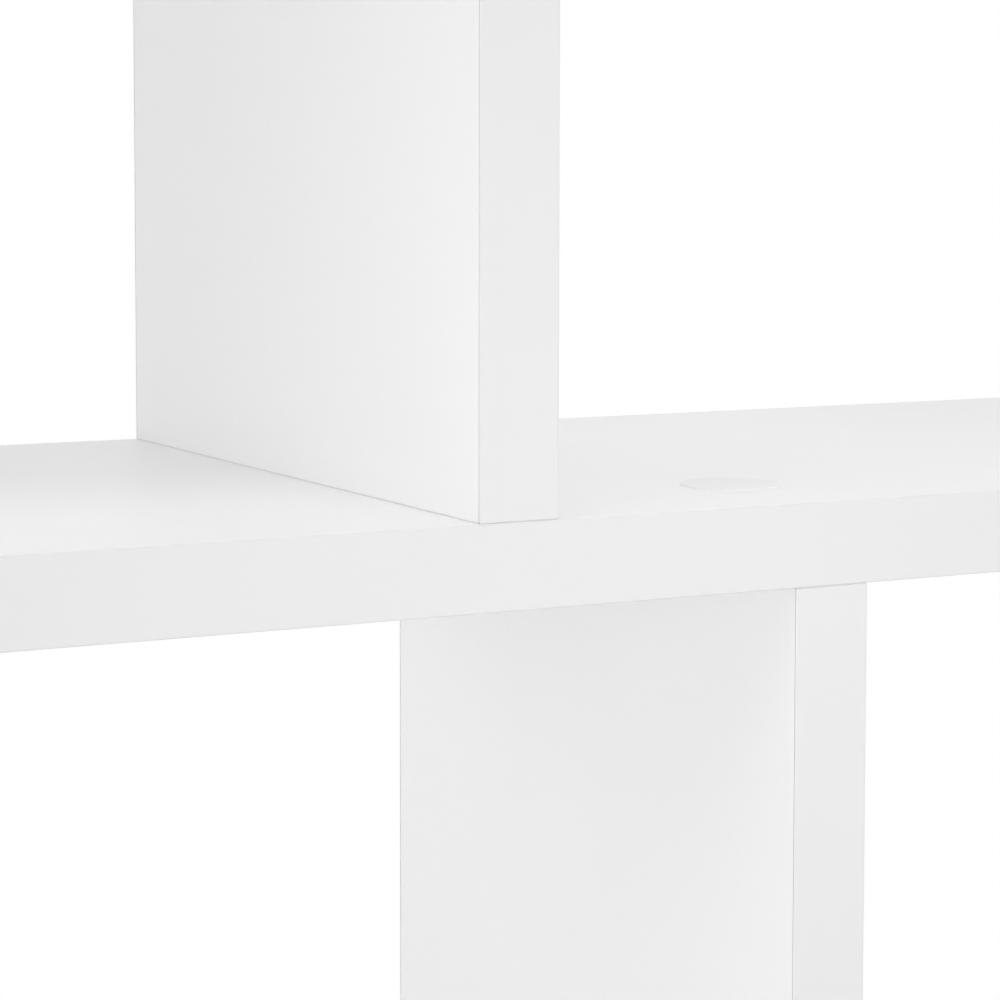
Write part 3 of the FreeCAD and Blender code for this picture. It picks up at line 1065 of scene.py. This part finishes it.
@dataclass(frozen=True)
class ScrewCovers:
    """Thin round covers with a rounded rim, stuck over the screw heads."""

    rim_steps: int = 4
    sides: int = 72

    def rings(self, radius: float, thickness: float) -> list[Ring]:
        """Rings of a cover from its outer face round the rim to its glued face.

        Args:
            radius: The cover's radius.
            thickness: Its thickness, twice the rounding of the rim.

        Returns:
            The rings, with the outer face at height zero.
        """
        rim = thickness / 2
        quarter = [FULL_TURN / 4 * step / self.rim_steps for step in range(self.rim_steps + 1)]
        curve = [(radius - rim + rim * math.sin(turn), -rim + rim * math.cos(turn)) for turn in quarter]
        return [Ring(z, circle(r)) for r, z in curve] + [Ring(-thickness, circle(radius))]

    def build(self, node: str, heading: Heading, material: bpy.types.Material) -> None:
        """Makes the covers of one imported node.

        Args:
            node: The node with the plain covers.
            heading: Which way their open faces point.
            material: Their finish.
        """
        mesh = PieceMesh()
        for solid in solids_of(node):
            rings = self.rings(solid.size.x / 2, heading.reach(solid))
            mesh.turn(rings, even_angles(self.sides), heading.stand(solid))
        mesh.piece(f"rounded_{node}", material, node)


@dataclass(frozen=True)
class Hardware:
    """All fasteners, covers and hanger plates of the shelf."""

    heads_up: tuple[str, ...] = ("top_shelf", "centre_shelf_lower")
    heads_down: tuple[str, ...] = ("centre_shelf_upper", "bottom_shelf")
    covers_up: tuple[str, ...] = ("top_shelf_covers", "centre_shelf_top_covers")
    covers_down: tuple[str, ...] = ("centre_shelf_bottom_covers", "bottom_shelf_covers")
    hanger_screws: tuple[str, ...] = ("upper_hanger_screws", "lower_hanger_screws")
    hangers: tuple[str, ...] = (
        "upper_left_hanger", "upper_right_hanger", "lower_left_hanger", "lower_right_hanger",
    )
    screw_roughness: float = 0.26

    def build(self) -> None:
        """Makes and dresses every piece."""
        zinc = ZincPlate(roughness=self.screw_roughness).material("zinc_on_screws")
        beech = BeechWood().material("raw_beech")
        film = CoverFilm().material("cover_film")
        plate = ZincPlate().material("zinc_on_plates")
        for heading, joints in ((Heading.UP, self.heads_up), (Heading.DOWN, self.heads_down)):
            for joint in joints:
                AssemblyScrews().build(f"{joint}_screws", heading, zinc)
                Dowels().build(f"{joint}_dowels", beech)
        for heading, nodes in ((Heading.UP, self.covers_up), (Heading.DOWN, self.covers_down)):
            for node in nodes:
                ScrewCovers().build(node, heading, film)
        for node in self.hanger_screws:
            HangerScrews().build(node, Heading.WALL, zinc)
        for node in self.hangers:
            dress(node, plate)


@dataclass(frozen=True)
class Lamp:
    """A square soft box, with a grid in front of it where the spread is narrow."""

    name: str
    place: Triple
    aim: Triple
    side: float
    power: float
    spread: float = math.radians(180)

    def hang(self) -> None:
        """Puts the lamp up, facing its aim."""
        data = bpy.data.lights.new(self.name, "AREA")
        data.shape = "SQUARE"
        data.size = self.side
        data.energy = self.power
        data.spread = self.spread
        lamp = bpy.data.objects.new(self.name, data)
        lamp.visible_camera = False
        lamp.location = self.place
        lamp.rotation_euler = (Vector(self.aim) - Vector(self.place)).to_track_quat("-Z", "Y").to_euler()
        bpy.context.scene.collection.objects.link(lamp)
        LOG.info("lamp %s", self.name)


MIDDLE = (0.0, -0.1, 0.0)
UPPER_FOOT = (-0.04, -0.12, 0.0)
SHELF_FRONT = (0.03, -0.14, 0.0)
LOWER_SIDE = (0.02, -0.1, -0.06)
LAMPS = (
    Lamp("high_left", (-1.58, -0.68, 1.41), MIDDLE, 1.1, 4.77),
    Lamp("top", (-0.37, -0.47, 1.93), MIDDLE, 0.5, 0.63),
    Lamp("back_left", (-1.23, 1.13, 1.0), MIDDLE, 1.4, 3.90),
    Lamp("right", (1.97, -0.1, 0.35), MIDDLE, 1.4, 5.90),
    Lamp("low_left", (-1.1, -0.2, -0.2), LOWER_SIDE, 0.3, 0.0301, math.radians(30)),
    Lamp("high_front", (-0.05, -0.45, 1.15), UPPER_FOOT, 0.3, 0.0416, math.radians(20)),
    Lamp("left_front", (-0.65, -0.85, 0.15), SHELF_FRONT, 0.3, 0.0125, math.radians(22)),
    Lamp("front", (-0.45, -0.9, 0.05), SHELF_FRONT, 0.3, 0.0588, math.radians(22)),
)


@dataclass(frozen=True)
class Studio:
    """Pale floor, soft light all round and the lamps."""

    lamps: tuple[Lamp, ...] = LAMPS
    ambient: float = 0.755
    floor_drop: float = 0.19
    floor_side: float = 14.0
    floor_white: float = 0.92
    floor_lift: float = 0.45
    shadow_reach: tuple[float, float] = (0.95, 0.75)
    shadow_core: float = 0.55

    def floor_material(self) -> bpy.types.Material:
        """Makes paint that takes the shadow near the shelf and turns plain white further out.

        Returns:
            The floor's material.
        """
        material = bpy.data.materials.new("pale_floor")
        material.use_nodes = True
        graph = ShaderGraph(material.node_tree)
        flat = graph.scaled_place((1 / self.shadow_reach[0], 1 / self.shadow_reach[1], 0.0))
        away = graph.node("ShaderNodeVectorMath", {"operation": "LENGTH"}, {0: flat}, output="Value")
        far = graph.fade(away, self.shadow_core, 1.0)
        share = graph.seen_directly() * (self.floor_lift + far * (1 - self.floor_lift))
        paint = graph.node("ShaderNodeBsdfDiffuse", inputs={"Color": grey(self.floor_white)})
        glow = graph.node("ShaderNodeEmission", inputs={"Color": WHITE})
        blend = graph.node("ShaderNodeMixShader", inputs={0: share, 1: paint, 2: glow})
        graph.node("ShaderNodeOutputMaterial", inputs={"Surface": blend})
        return material

    def lay_floor(self) -> None:
        """Lays the floor below the shelf."""
        level = CAD_BOX[0].z - self.floor_drop
        half = self.floor_side / 2
        corners = [(x, y, level) for x, y in ((-half, -half), (half, -half), (half, half), (-half, half))]
        mesh = bpy.data.meshes.new("floor")
        mesh.from_pydata(corners, [], [(0, 1, 2, 3)])
        mesh.materials.append(self.floor_material())
        floor = bpy.data.objects.new("floor", mesh)
        bpy.context.scene.collection.objects.link(floor)

    def light_round(self) -> None:
        """Sets soft light from all round; the background itself shows plain white."""
        world = bpy.data.worlds.new("studio")
        world.use_nodes = True
        graph = ShaderGraph(world.node_tree)
        strength = self.ambient + graph.seen_directly() * (1 - self.ambient)
        light = graph.node("ShaderNodeBackground", inputs={"Color": WHITE, "Strength": strength})
        graph.node("ShaderNodeOutputWorld", inputs={"Surface": light})
        bpy.context.scene.world = world

    def build(self) -> None:
        """Sets the studio up."""
        self.lay_floor()
        self.light_round()
        for lamp in self.lamps:
            lamp.hang()
        bpy.context.scene.view_settings.view_transform = "Standard"


@dataclass(frozen=True)
class PhotoCamera:
    """The photograph's camera: close, from the front left, a little above the centre shelf."""

    place: Triple = (-259.2 * MM, -581.6 * MM, 69.4 * MM)
    yaw: float = math.radians(26.776)
    dip: float = math.radians(3.953)
    focal_pixels: float = 2886.0
    frame_pixels: float = 1000.0
    sensor_width: float = 36.0
    shift: tuple[float, float] = (0.06, -0.15)
    nearest: float = 10 * MM

    def build(self) -> None:
        """Places the camera and makes it the scene's own."""
        data = bpy.data.cameras.new("photo_camera")
        data.sensor_width = self.sensor_width
        data.lens = self.sensor_width * self.focal_pixels / self.frame_pixels
        data.shift_x, data.shift_y = self.shift
        data.clip_start = self.nearest
        camera = bpy.data.objects.new("photo_camera", data)
        level = math.cos(self.dip)
        ahead = Vector((math.sin(self.yaw) * level, math.cos(self.yaw) * level, -math.sin(self.dip)))
        camera.location = self.place
        camera.rotation_euler = ahead.to_track_quat("-Z", "Y").to_euler()
        bpy.context.scene.collection.objects.link(camera)
        bpy.context.scene.camera = camera


def main() -> None:
    """Builds the sub-assemblies in order, then the studio and the camera."""
    logging.basicConfig(level=logging.INFO, format="%(name)s: %(message)s")
    Boards().build()
    Hardware().build()
    Studio().build()
    PhotoCamera().build()


if __name__ == "__main__":
    main()
